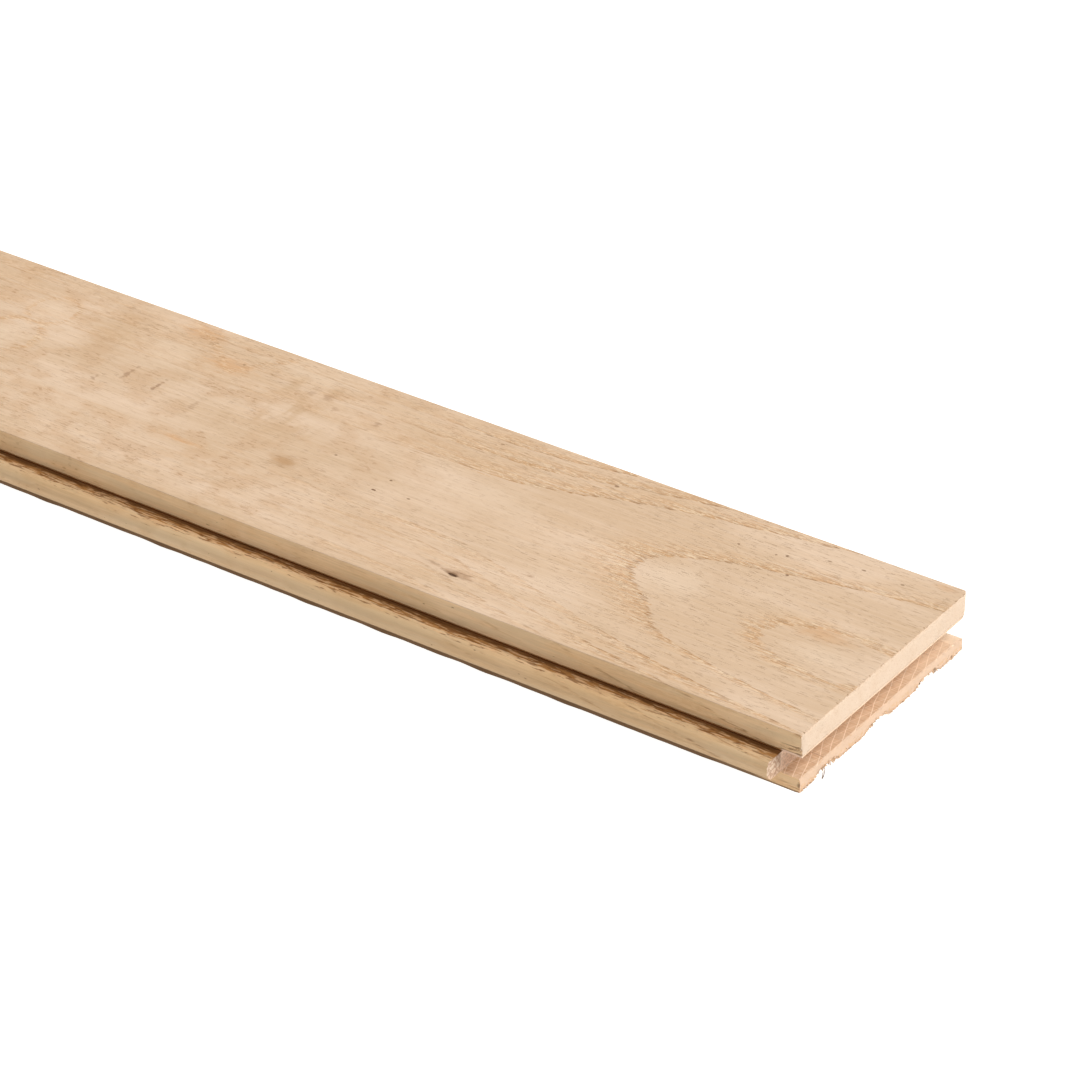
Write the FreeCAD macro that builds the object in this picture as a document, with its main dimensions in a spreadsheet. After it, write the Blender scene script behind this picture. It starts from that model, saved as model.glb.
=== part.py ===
"""Tongue-and-groove solid oak floorboard, end-matched, with a relieved back.

X runs along the board, with the grooved end at +X and the end tongue at -X.
Y runs across it, with the side tongue at -Y and the side groove at +Y.
Z is up, the walking face on top. The origin is the centre of the outer box, on the underside.
"""

import FreeCAD, Part
import os
import Sketcher

NODE = "floorboard"

# Driving dimensions in millimetres: alias, value and meaning
SIZES = [
    ("face_length", "914.4", "walking face, grooved end to the shoulder of the end tongue"),
    ("face_width", "88.9", "walking face, across the board"),
    ("thickness", "19.05", "walking face to underside"),
    ("upper_lip", "7.94", "walking face to the top of the tongue"),
    ("tongue_thickness", "6.35", "tongue, which has a full round nose"),
    ("side_tongue_length", "6.7", "side tongue, nose to the edge of the face"),
    ("end_tongue_length", "6.0", "end tongue, nose to the edge of the face"),
    ("side_tongue_setback", "0.2", "lower side under the side tongue, behind the edge of the face"),
    ("end_tongue_setback", "0.2", "lower shoulder under the end tongue, behind the edge of the face"),
    ("nail_seat_height", "0.95", "nail seat in the corner above the side tongue"),
    ("nail_seat_depth", "0.9", "nail seat, in from the edge of the face"),
    ("groove_clearance", "0.15", "groove above and below a tongue"),
    ("groove_depth_clearance", "0.5", "groove deeper than a tongue is long"),
    ("groove_corner_radius", "0.5", "inner corners of the grooves"),
    ("groove_ease", "0.25", "bevel along the mouth of a groove, on the lower lip"),
    ("side_lip_setback", "0.8", "lower lip of the side groove, behind the edge of the face"),
    ("end_lip_setback", "0.2", "lower lip of the end groove, behind the edge of the face"),
    ("relief_count", "3", "hollows along the underside"),
    ("relief_pitch", "27.0", "hollow to hollow"),
    ("relief_width", "14.0", "hollow, across the board"),
    ("relief_depth", "1.9", "hollow, up from the underside"),
]

# Places worked out from the driving dimensions
LENGTH = "(Sizes.face_length + Sizes.end_tongue_length)"
WIDTH = "(Sizes.face_width + Sizes.side_tongue_length)"
TONGUE_TOP = "(Sizes.thickness - Sizes.upper_lip)"
TONGUE_FLOOR = f"({TONGUE_TOP} - Sizes.tongue_thickness)"
NOSE_RADIUS = "(Sizes.tongue_thickness / 2)"
GROOVE_ROOF = f"({TONGUE_TOP} + Sizes.groove_clearance)"
GROOVE_FLOOR = f"({TONGUE_FLOOR} - Sizes.groove_clearance)"
# Cutters run past the faces of the blank by one thickness
BELOW = "(-Sizes.thickness)"
ABOVE = "(2 * Sizes.thickness)"

doc = FreeCAD.newDocument(NODE)
sheet = doc.addObject("Spreadsheet::Sheet", "Sizes")
for row, (alias, value, meaning) in enumerate(SIZES, start=1):
    sheet.set(f"A{row}", meaning)
    sheet.set(f"B{row}", value)
    sheet.setAlias(f"B{row}", alias)
doc.recompute()

body = doc.addObject("PartDesign::Body", "Board")
body.Label = NODE


def origin_feature(role):
    """A plane or axis of the body's own origin."""
    return next(feature for feature in body.Origin.OriginFeatures if feature.Role == role)


def new_sketch(name, plane):
    """An empty sketch on one of the body's origin planes."""
    sketch = body.newObject("Sketcher::SketchObject", name)
    sketch.AttachmentSupport = [(origin_feature(plane), "")]
    sketch.MapMode = "FlatFace"
    doc.recompute()
    return sketch


def bind(sketch, constraint, formula):
    """Add a dimension to a sketch and drive it from the sheet."""
    index = sketch.addConstraint(constraint)
    sketch.setExpression(f"Constraints[{index}]", formula)


def arc_between(start, end, radius, normal):
    """The shorter arc from start to end, its middle on the left-hand side of the way there."""
    chord = end - start
    half = chord.Length / 2
    rise = radius - (radius ** 2 - half ** 2) ** 0.5
    aside = normal.cross(chord).normalize()
    return Part.Arc(start, start + chord / 2 + aside * rise, end)


def draw_outline(sketch, corners):
    """A closed outline. A corner is (across, up), with a radius too if an arc leads from it to the next one."""
    normal = FreeCAD.Vector(0, 0, 1)
    places = [
        FreeCAD.Vector(sketch.evalExpression(corner[0]), sketch.evalExpression(corner[1]), 0)
        for corner in corners
    ]
    count = len(corners)
    for index, corner in enumerate(corners):
        start, end = places[index], places[(index + 1) % count]
        if len(corner) == 2:
            sketch.addGeometry(Part.LineSegment(start, end))
        else:
            radius = sketch.evalExpression(corner[2])
            sketch.addGeometry(arc_between(start, end, radius, normal))
    # An arc is kept counter-clockwise, so the end that an outline enters by is found by its place
    first = [1 if sketch.getPoint(edge, 1).isEqual(places[edge], 1e-6) else 2 for edge in range(count)]
    for edge, corner in enumerate(corners):
        before = (edge - 1) % count
        sketch.addConstraint(Sketcher.Constraint("Coincident", before, 3 - first[before], edge, first[edge]))
        bind(sketch, Sketcher.Constraint("DistanceX", -1, 1, edge, first[edge], places[edge].x), corner[0])
        bind(sketch, Sketcher.Constraint("DistanceY", -1, 1, edge, first[edge], places[edge].y), corner[1])
        if len(corner) == 3:
            bind(sketch, Sketcher.Constraint("Radius", edge, sketch.evalExpression(corner[2])), corner[2])


def cut_through(name, plane, corners):
    """Cut an outline right through the board, to both sides of its plane."""
    sketch = new_sketch(name + "Section", plane)
    draw_outline(sketch, corners)
    pocket = body.newObject("PartDesign::Pocket", name)
    pocket.Profile = sketch
    pocket.SideType = "Symmetric"
    pocket.Type = "ThroughAll"
    before = body.Shape.Volume
    doc.recompute()
    if body.Shape.Volume >= before:
        raise RuntimeError(f"{name} cuts nothing")
    return pocket


def make_blank():
    """The sawn blank: a box as long and wide as the board over its tongues."""
    sketch = new_sketch("BlankSection", "XY_Plane")
    half_length, half_width = f"({LENGTH} / 2)", f"({WIDTH} / 2)"
    draw_outline(sketch, [
        (f"-{half_length}", f"-{half_width}"),
        (half_length, f"-{half_width}"),
        (half_length, half_width),
        (f"-{half_length}", half_width),
    ])
    pad = body.newObject("PartDesign::Pad", "Blank")
    pad.Profile = sketch
    pad.setExpression("Length", "Sizes.thickness")
    doc.recompute()


def cut_tongue(name, plane, size, length, setback, seat_height, seat_depth):
    """Leave a round-nosed tongue at the negative end of the plane's first axis."""
    nose = f"(-{size} / 2)"
    face_edge = f"({nose} + {length})"
    outside = f"({nose} - Sizes.thickness)"
    nose_centre = f"({nose} + {NOSE_RADIUS})"
    shoulder = [(face_edge, TONGUE_TOP)]
    if seat_height:
        shoulder = [
            (f"{face_edge} + {seat_depth}", TONGUE_TOP),
            (face_edge, f"{TONGUE_TOP} + {seat_height}"),
        ]
    cut_through(name, plane, [
        (f"{face_edge} + {setback}", BELOW),
        (f"{face_edge} + {setback}", TONGUE_FLOOR),
        (nose_centre, TONGUE_FLOOR, NOSE_RADIUS),
        (nose, f"{TONGUE_TOP} - {NOSE_RADIUS}", NOSE_RADIUS),
        (nose_centre, TONGUE_TOP),
        *shoulder,
        (face_edge, ABOVE),
        (outside, ABOVE),
        (outside, BELOW),
    ])


def cut_groove(name, plane, size, tongue_length, setback):
    """Cut a groove for a tongue at the positive end of the plane's first axis, and trim its lower lip."""
    face_edge = f"({size} / 2)"
    outside = f"({face_edge} + Sizes.thickness)"
    bottom = f"({face_edge} - {tongue_length} - Sizes.groove_depth_clearance)"
    corner = "Sizes.groove_corner_radius"
    lip_edge = f"({face_edge} - {setback})"
    cut_through(name, plane, [
        (outside, GROOVE_ROOF),
        (outside, BELOW),
        (lip_edge, BELOW),
        (lip_edge, f"{GROOVE_FLOOR} - Sizes.groove_ease"),
        (f"{lip_edge} - Sizes.groove_ease", GROOVE_FLOOR),
        (f"{bottom} + {corner}", GROOVE_FLOOR, corner),
        (bottom, f"{GROOVE_FLOOR} + {corner}"),
        (bottom, f"{GROOVE_ROOF} - {corner}", corner),
        (f"{bottom} + {corner}", GROOVE_ROOF),
    ])


def cut_reliefs():
    """Shallow round hollows along the underside, centred on the board's whole width."""
    first = "(-Sizes.relief_pitch * (Sizes.relief_count - 1) / 2)"
    radius = "(Sizes.relief_width ^ 2 / (8 * Sizes.relief_depth) + Sizes.relief_depth / 2)"
    left, right = (f"({first} {sign} Sizes.relief_width / 2)" for sign in "-+")
    hollow = cut_through("Relief", "YZ_Plane", [
        (left, BELOW),
        (left, "0", radius),
        (right, "0"),
        (right, BELOW),
    ])
    pattern = body.newObject("PartDesign::LinearPattern", "Reliefs")
    pattern.Originals = [hollow]
    pattern.Direction = (origin_feature("Y_Axis"), [""])
    pattern.Mode = "Spacing"
    pattern.setExpression("Offset", "Sizes.relief_pitch")
    pattern.setExpression("Occurrences", "Sizes.relief_count")
    body.Tip = pattern
    doc.recompute()


make_blank()
cut_reliefs()
cut_tongue("SideTongue", "YZ_Plane", WIDTH, "Sizes.side_tongue_length", "Sizes.side_tongue_setback",
           "Sizes.nail_seat_height", "Sizes.nail_seat_depth")
cut_groove("SideGroove", "YZ_Plane", WIDTH, "Sizes.side_tongue_length", "Sizes.side_lip_setback")
cut_tongue("EndTongue", "XZ_Plane", LENGTH, "Sizes.end_tongue_length", "Sizes.end_tongue_setback", None, None)
cut_groove("EndGroove", "XZ_Plane", LENGTH, "Sizes.end_tongue_length", "Sizes.end_lip_setback")
doc.recompute()

for thing in doc.Objects:
    if "Invalid" in thing.State or "Error" in thing.State:
        raise RuntimeError(f"{thing.Name} failed: {thing.State}")
if body.Shape.isNull() or not body.Shape.isValid() or len(body.Shape.Solids) != 1:
    raise RuntimeError("the board is not one valid solid")

os.makedirs("parts", exist_ok=True)
body.Shape.exportStep(f"parts/{body.Label}.step")
box = body.Shape.BoundBox
print(f"{body.Label}: {box.XLength:.2f} x {box.YLength:.2f} x {box.ZLength:.2f} mm,"
      f" {body.Shape.Volume / 1000:.1f} cm3")
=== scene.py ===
"""Looks of a bare oak tongue-and-groove floorboard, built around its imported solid."""

import math
import random

import bmesh
import bpy
from mathutils import Color, Matrix, Vector, noise


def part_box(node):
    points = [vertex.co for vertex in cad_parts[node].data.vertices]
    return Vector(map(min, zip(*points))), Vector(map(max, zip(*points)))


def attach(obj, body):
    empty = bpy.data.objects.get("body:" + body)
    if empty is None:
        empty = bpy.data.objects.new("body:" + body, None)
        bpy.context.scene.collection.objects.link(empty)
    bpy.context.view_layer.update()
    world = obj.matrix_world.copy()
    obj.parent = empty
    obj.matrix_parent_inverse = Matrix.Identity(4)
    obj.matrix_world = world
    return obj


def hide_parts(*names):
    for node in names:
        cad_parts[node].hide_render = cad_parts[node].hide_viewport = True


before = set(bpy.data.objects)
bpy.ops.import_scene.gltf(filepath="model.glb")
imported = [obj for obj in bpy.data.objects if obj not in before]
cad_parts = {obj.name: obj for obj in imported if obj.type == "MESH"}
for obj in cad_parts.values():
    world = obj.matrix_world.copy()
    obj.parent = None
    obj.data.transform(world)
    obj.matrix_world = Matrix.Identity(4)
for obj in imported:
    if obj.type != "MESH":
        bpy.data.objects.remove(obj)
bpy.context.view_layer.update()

MM = 0.001
TINY = 1e-6

# The solid's section, in metres
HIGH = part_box("floorboard")[1]
END = HIGH.x
HALF_WIDTH = HIGH.y
THICK = HIGH.z
UPPER_LIP = 7.94 * MM
TONGUE = 6.35 * MM
SIDE_TONGUE_LENGTH = 6.7 * MM
END_TONGUE_LENGTH = 6.0 * MM
TONGUE_SETBACK = 0.2 * MM
SEAT_HEIGHT = 0.95 * MM
SEAT_DEPTH = 0.9 * MM
GROOVE_CLEARANCE = 0.15 * MM
GROOVE_DEPTH_CLEARANCE = 0.5 * MM
GROOVE_CORNER = 0.5 * MM
GROOVE_EASE = 0.25 * MM
SIDE_LIP_SETBACK = 0.8 * MM
END_LIP_SETBACK = 0.2 * MM
HOLLOW_COUNT = 3
HOLLOW_PITCH = 27.0 * MM
HOLLOW_WIDTH = 14.0 * MM
HOLLOW_DEPTH = 1.9 * MM

# Places that follow from the section
TONGUE_TOP = THICK - UPPER_LIP
TONGUE_FLOOR = TONGUE_TOP - TONGUE
TONGUE_MIDDLE = TONGUE_TOP - TONGUE / 2
GROOVE_ROOF = TONGUE_TOP + GROOVE_CLEARANCE
GROOVE_FLOOR = TONGUE_FLOOR - GROOVE_CLEARANCE
END_GROOVE_DEPTH = END_TONGUE_LENGTH + GROOVE_DEPTH_CLEARANCE
SIDE_GROOVE_DEPTH = SIDE_TONGUE_LENGTH + GROOVE_DEPTH_CLEARANCE
FACE_FRONT = -HALF_WIDTH + SIDE_TONGUE_LENGTH
FACE_LEFT = -END + END_TONGUE_LENGTH
HOLLOW_RADIUS = HOLLOW_WIDTH ** 2 / (8 * HOLLOW_DEPTH) + HOLLOW_DEPTH / 2

# Mesh steps
ARRIS = 0.25 * MM
ARRIS_STEPS = 3
CORNER_STEPS = 4
NOSE_STEPS = 24
HOLLOW_STEPS = 14
SECTION_STEP = 0.8 * MM
LIP_STEP = 0.4 * MM
NEAR_STEP = 2.5 * MM
FAR_STEP = 16.0 * MM
NEAR_LENGTH = 310 * MM
END_BLOCK = 14 * MM
END_STEP = 0.4 * MM
# A face counts as flat across an axis if its normal has at least this share along it
FLAT = 0.99
SHARP_ANGLE = math.radians(30)

# Camera, fitted to the edges of the board in the picture
LENS = 135.54
SENSOR = 36.0
AZIMUTH = math.radians(35.18)
ELEVATION = math.radians(31.39)
DISTANCE = 1173.4 * MM
AIM = Vector((END - 115.08 * MM, FACE_FRONT + 41.78 * MM, THICK))


# Outlines

def arc_points(centre, radius, start, stop, steps):
    """Points on an arc, angles in degrees, without its first point."""
    points = []
    for step in range(1, steps + 1):
        angle = math.radians(start + (stop - start) * step / steps)
        points.append((centre[0] + radius * math.cos(angle), centre[1] + radius * math.sin(angle)))
    return points


def eased(corner, before, after, radius):
    """A square corner worn round: points from one side to the other."""
    corner, before, after = (Vector(point) for point in (corner, before, after))
    first = corner + (before - corner).normalized() * radius
    last = corner + (after - corner).normalized() * radius
    points = []
    for step in range(ARRIS_STEPS + 1):
        part = step / ARRIS_STEPS
        points.append(tuple(first.lerp(corner, part).lerp(corner.lerp(last, part), part)))
    return points


def spaced(points, longest):
    """A closed outline with points added so that no side is longer than asked."""
    result = []
    for first, last in zip(points, points[1:] + points[:1]):
        count = max(1, math.ceil(math.dist(first, last) / longest - TINY))
        for index in range(count):
            result.append(tuple(Vector(first).lerp(Vector(last), index / count)))
    return result


def groove_outline(edge, depth, setback):
    """A groove that opens at +edge, from the foot of its lower lip up to its upper lip."""
    bottom = edge - depth
    lip = edge - setback
    floor_centre = (bottom + GROOVE_CORNER, GROOVE_FLOOR + GROOVE_CORNER)
    roof_centre = (bottom + GROOVE_CORNER, GROOVE_ROOF - GROOVE_CORNER)
    return [
        (lip, 0.0),
        (lip, GROOVE_FLOOR - GROOVE_EASE),
        (lip - GROOVE_EASE, GROOVE_FLOOR),
        (bottom + GROOVE_CORNER, GROOVE_FLOOR),
        *arc_points(floor_centre, GROOVE_CORNER, 270, 180, CORNER_STEPS),
        (bottom, GROOVE_ROOF - GROOVE_CORNER),
        *arc_points(roof_centre, GROOVE_CORNER, 180, 90, CORNER_STEPS),
        (edge, GROOVE_ROOF),
    ]


def nose_outline(nose):
    """The round nose of a tongue that points to minus, from its top to its underside."""
    centre = (nose + TONGUE / 2, TONGUE_MIDDLE)
    return [(centre[0], TONGUE_TOP), *arc_points(centre, TONGUE / 2, 90, 270, NOSE_STEPS)]


def hollow_middles():
    """Where the hollows of the underside run, across the board."""
    return [HOLLOW_PITCH * (index - (HOLLOW_COUNT - 1) / 2) for index in range(HOLLOW_COUNT)]


def underside_height(y):
    """How far the hollows lift the underside at one place across the board."""
    height = 0.0
    for middle in hollow_middles():
        if abs(y - middle) < HOLLOW_WIDTH / 2:
            height = math.sqrt(HOLLOW_RADIUS ** 2 - (y - middle) ** 2) + HOLLOW_DEPTH - HOLLOW_RADIUS
    return height


def section_outline():
    """The section across the board, counter-clockwise as seen from its grooved end."""
    foot = FACE_FRONT + TONGUE_SETBACK
    points = [(foot, 0.0)]
    half_angle = math.degrees(math.asin(HOLLOW_WIDTH / 2 / HOLLOW_RADIUS))
    for middle in hollow_middles():
        centre = (middle, HOLLOW_DEPTH - HOLLOW_RADIUS)
        points.append((middle - HOLLOW_WIDTH / 2, 0.0))
        points += arc_points(centre, HOLLOW_RADIUS, 90 + half_angle, 90 - half_angle, HOLLOW_STEPS)
    points += groove_outline(HALF_WIDTH, SIDE_GROOVE_DEPTH, SIDE_LIP_SETBACK)
    points += eased((HALF_WIDTH, THICK), (HALF_WIDTH, 0), (0, THICK), ARRIS)
    points += eased((FACE_FRONT, THICK), (0, THICK), (FACE_FRONT, 0), ARRIS)
    heights = steps_between(TONGUE_TOP + SEAT_HEIGHT, THICK - ARRIS, LIP_STEP)
    points += [(FACE_FRONT, height) for height in reversed(heights[:-1])]
    points.append((FACE_FRONT + SEAT_DEPTH, TONGUE_TOP))
    points += nose_outline(-HALF_WIDTH)
    points.append((foot, TONGUE_FLOOR))
    return spaced(points, SECTION_STEP)


def end_groove_cutter():
    """What is cut from the grooved end, seen along Y."""
    outline = groove_outline(END, END_GROOVE_DEPTH, END_LIP_SETBACK)
    return [(END + THICK, GROOVE_ROOF), (END + THICK, -THICK), (outline[0][0], -THICK), *outline[1:-1]]


def end_tongue_cutter():
    """What is cut from around the end tongue, seen along Y."""
    outside = -END - THICK
    above = THICK + THICK
    foot = FACE_LEFT + TONGUE_SETBACK
    return [
        (outside, -THICK),
        (outside, above),
        (FACE_LEFT, above),
        (FACE_LEFT, TONGUE_TOP),
        *nose_outline(-END),
        (foot, TONGUE_FLOOR),
        (foot, -THICK),
    ]


# Mesh of the board

def mesh_data(name, mesh):
    """The finished mesh as data for an object."""
    data = bpy.data.meshes.new(name)
    mesh.to_mesh(data)
    mesh.free()
    return data


def new_object(name, data):
    """A new object, linked to the scene."""
    thing = bpy.data.objects.new(name, data)
    bpy.context.scene.collection.objects.link(thing)
    return thing


def steps_between(start, stop, longest):
    """Evenly spaced values from start to stop, both included."""
    count = max(1, math.ceil((stop - start) / longest - TINY))
    return [start + (stop - start) * index / count for index in range(count + 1)]


def prism(name, rings):
    """A closed mesh through rings of points, capped at both ends."""
    mesh = bmesh.new()
    loops = [[mesh.verts.new(point) for point in ring] for ring in rings]
    for first, last in zip(loops, loops[1:]):
        for index, vertex in enumerate(first):
            following = (index + 1) % len(first)
            mesh.faces.new((vertex, first[following], last[following], last[index]))
    mesh.faces.new(list(reversed(loops[0])))
    mesh.faces.new(loops[-1])
    bmesh.ops.recalc_face_normals(mesh, faces=mesh.faces)
    return mesh_data(name, mesh)


def board_prism(name, section, stations):
    """The section swept through places along the board."""
    return prism(name, [[(x, y, z) for y, z in section] for x in stations])


def cut_mesh(data, cutter_outline):
    """The mesh less a cutter that runs right across the board."""
    reach = HALF_WIDTH + THICK
    outline = spaced(cutter_outline, SECTION_STEP)
    rings = [[(x, y, z) for x, z in outline] for y in steps_between(-reach, reach, SECTION_STEP)]
    block = new_object("block", data)
    cutter = new_object("cutter", prism("cutter", rings))
    boolean = block.modifiers.new("cut", "BOOLEAN")
    boolean.operation = "DIFFERENCE"
    boolean.solver = "EXACT"
    boolean.object = cutter
    graph = bpy.context.evaluated_depsgraph_get()
    result = bpy.data.meshes.new_from_object(block.evaluated_get(graph))
    bpy.data.objects.remove(block)
    bpy.data.objects.remove(cutter)
    return result


def build_board():
    """The board at its finished size: a swept section with its two worked ends."""
    section = section_outline()
    left, near, right = -END + END_BLOCK, END - NEAR_LENGTH, END - END_BLOCK
    middle = steps_between(left, near, FAR_STEP) + steps_between(near, right, NEAR_STEP)[1:]
    blocks = [
        cut_mesh(board_prism("left", section, steps_between(-END, left, NEAR_STEP)), end_tongue_cutter()),
        board_prism("middle", section, middle),
        cut_mesh(board_prism("right", section, steps_between(right, END, END_STEP)), end_groove_cutter()),
    ]
    mesh = bmesh.new()
    for block in blocks:
        mesh.from_mesh(block)
    seams = [
        face for face in mesh.faces
        if abs(face.normal.x) > FLAT
        and min(abs(face.verts[0].co.x - seam) for seam in (left, right)) < TINY
    ]
    bmesh.ops.delete(mesh, geom=seams, context="FACES")
    bmesh.ops.remove_doubles(mesh, verts=mesh.verts, dist=TINY)
    return mesh


def end_faces(mesh, furthest_in):
    """The flat faces of the lips at the grooved end."""
    limit = END - furthest_in - TINY
    return [face for face in mesh.faces if face.normal.x > FLAT and face.verts[0].co.x > limit]


def divide_end(mesh):
    """Divide the flat end of the upper lip, so that it can follow its worn edges."""
    faces = end_faces(mesh, 0.0)
    parts = list(dict.fromkeys(part for face in faces for part in (face, *face.edges, *face.verts)))
    spans = (
        (Vector((0, 1, 0)), FACE_FRONT, HALF_WIDTH),
        (Vector((0, 0, 1)), GROOVE_ROOF, THICK),
    )
    for axis, low, high in spans:
        for place in steps_between(low, high, SECTION_STEP)[1:-1]:
            cut = bmesh.ops.bisect_plane(mesh, geom=parts, plane_co=axis * place, plane_no=axis)
            parts = cut["geom"]


def ease_ends(mesh):
    """Take the sharp edge off the flat ends of the lips at the grooved end."""
    flat = end_faces(mesh, END_LIP_SETBACK)
    outline = {vertex for face in flat for vertex in face.verts}
    inner = {vertex for vertex in outline if all(face in flat for face in vertex.link_faces)}
    bmesh.ops.inset_region(mesh, faces=flat, thickness=ARRIS, use_even_offset=True)
    for vertex in outline - inner:
        vertex.co.x -= ARRIS


# Wear and tear. Places are in millimetres: along from the grooved end (minus is into the board), across from
# the tongue side of the face, and up from the underside.

FLOOR_UP = GROOVE_FLOOR / MM
TOP_UP = THICK / MM
TONGUE_UP = TONGUE_TOP / MM

# Planed faces: waves in a millimetre along, across and up, and how far they wander
PLANER_WAVES = (0.05, 0.2, 0.2)
PLANER_UNEVEN = 0.04
PLANER_SEED = 5

# Torn edges of the grooved end: waves in a millimetre, how far from the edge, and depths for both waves
TEAR_WAVES = (1.1, 2.9)
TEAR_BAND = 0.4
TEAR_LENGTH = 1.0
NOTCH_DEPTHS = (0.5, 0.6)
NOTCH_SLOPE = 0.5
TEETH_DEPTHS = (0.4, 0.5)
TEETH_SLOPE = 0.5
LIP_DEPTHS = (0.2, 0.25)
LIP_BAND = 1.0
TONGUE_TORN = (0.25, 0.3)
TONGUE_LEAN = 0.3

# Splinters at the near corner: a split off the lip's lower edge, flakes above it and notches in the corner
CHIP_BAND = 1.0
SPLIT_UP = 13.6
SPLIT_ALONG = (-8.0, -5.5)
SPLIT_DEPTH = 0.5
FLAKE_WAVES = (0.35, 1.7)
FLAKE_SEED = 4.0
FLAKE_LENGTH = 4.0
FLAKE_LEVELS = (0.08, 0.2)
FLAKE_DEPTH = 0.45
CORNER_WAVES = 1.6
CORNER_SEED = (1.0, 1.2)
CORNER_LENGTH = 1.5
CORNER_DEPTH = 1.2

# Worn far corner: radii of the upper lip, of its lower edge and of the lower lip, and the rubbed lower lip
UPPER_CORNER = 2.0
UNDER_CORNER = 4.0
UNDER_LENGTH = 12.0
LOWER_CORNER = 0.8
FAR_WEAR_ALONG = (-25.0, -8.0)
FAR_WEAR_WIDTH = 5.0
FAR_WEAR_DEPTH = 1.2

# The foot under the side tongue spreads by this much, unevenly, up to a height and away from the grooved end
FLARE = 0.55
FLARE_WAVES = 0.11
FLARE_UNEVEN = 0.4
FLARE_HEIGHT = 1.6
FLARE_START, FLARE_WHOLE = -12.0, -40.0


def place_of(vertex):
    """Along, across and up, in millimetres."""
    return (vertex.co.x - END) / MM, (vertex.co.y - FACE_FRONT) / MM, vertex.co.z / MM


def shift(vertex, along=0.0, across=0.0, up=0.0):
    """Move a vertex by millimetres."""
    vertex.co += Vector((along, across, up)) * MM


def ramp(value, start, stop):
    """0 at start and 1 at stop, straight in between."""
    return min(1.0, max(0.0, (value - start) / (stop - start)))


def torn(first, second, depths):
    """How far a torn edge is out at one place: coarse and fine noise of those depths."""
    return sum(
        depth * noise.noise(Vector((first * waves, second * waves, waves)))
        for waves, depth in zip(TEAR_WAVES, depths)
    )


def tear_tongue(mesh):
    """The side tongue ends in a torn face that leans back to its top."""
    for vertex in mesh.verts:
        _, across, up = place_of(vertex)
        on_end = abs(vertex.co.x - END + END_GROOVE_DEPTH) < TINY
        if on_end and across < TEAR_BAND and TONGUE_FLOOR - TINY < vertex.co.z < TONGUE_TOP + TINY:
            lean = (TONGUE_MIDDLE - vertex.co.z) / (TONGUE / 2)
            shift(vertex, along=TONGUE_LEAN * lean + max(0.0, torn(across, up, TONGUE_TORN)))


def flare_foot(mesh):
    """The lower side spreads a little towards the underside, away from the grooved end."""
    for vertex in mesh.verts:
        along, across, up = place_of(vertex)
        if up < FLARE_HEIGHT and abs(across - TONGUE_SETBACK / MM) < TEAR_BAND:
            flare = FLARE + FLARE_UNEVEN * noise.noise(Vector((along * FLARE_WAVES, 0.0, 0.0)))
            shift(vertex, across=-flare * ramp(along, FLARE_START, FLARE_WHOLE) * (1 - up / FLARE_HEIGHT))


def round_far_corners(mesh):
    """Both lips are worn round where the grooved end meets the groove side."""
    for vertex in mesh.verts:
        upper = vertex.co.z > GROOVE_ROOF - TINY
        setback = Vector((0.0, 0.0)) if upper else Vector((END_LIP_SETBACK, SIDE_LIP_SETBACK))
        radius = (UPPER_CORNER if upper else LOWER_CORNER) * MM
        middle = Vector((END, HALF_WIDTH)) - setback - Vector((radius, radius))
        out = vertex.co.xy - middle
        if min(out) > 0 and out.length > radius:
            vertex.co.xy = middle + out.normalized() * radius


def round_under_lip(mesh):
    """The upper lip's lower edge is worn round at the same corner."""
    radius = UNDER_CORNER * MM
    middle = Vector((HALF_WIDTH - radius, GROOVE_ROOF + radius))
    for vertex in mesh.verts:
        out = vertex.co.yz - middle
        if vertex.co.z > GROOVE_ROOF - TINY and out.x > 0 and out.y < 0 and out.length > radius:
            share = ramp(place_of(vertex)[0], -UNDER_LENGTH, 0.0)
            vertex.co.yz = vertex.co.yz.lerp(middle + out.normalized() * radius, share)


def wear_far_lip(mesh):
    """The lower lip is rubbed down along its far edge, near the grooved end."""
    far = (HALF_WIDTH - SIDE_LIP_SETBACK - FACE_FRONT) / MM
    for vertex in mesh.verts:
        along, across, up = place_of(vertex)
        if up < FLOOR_UP + TEAR_BAND:
            share = ramp(along, *FAR_WEAR_ALONG) * ramp(across, far - FAR_WEAR_WIDTH, far) ** 2
            shift(vertex, up=-share * FAR_WEAR_DEPTH * up / FLOOR_UP)


def tear_end(mesh):
    """Notches along the top of the grooved end, torn teeth along its lower edge and a rough lip."""
    for vertex in mesh.verts:
        along, across, up = place_of(vertex)
        near = ramp(along, -TEAR_LENGTH, 0.0)
        if not near:
            continue
        if up > TOP_UP - TEAR_BAND:
            depth = near * max(0.0, torn(across, up, NOTCH_DEPTHS))
            shift(vertex, along=-depth, up=-depth * NOTCH_SLOPE)
        elif up < underside_height(vertex.co.y) / MM + TEAR_BAND:
            tooth = torn(across, up, TEETH_DEPTHS)
            shift(vertex, along=tooth * TEETH_SLOPE, up=max(tooth, -up))
        elif abs(up - FLOOR_UP) < LIP_BAND:
            shift(vertex, along=near * torn(across, up, LIP_DEPTHS))


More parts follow.
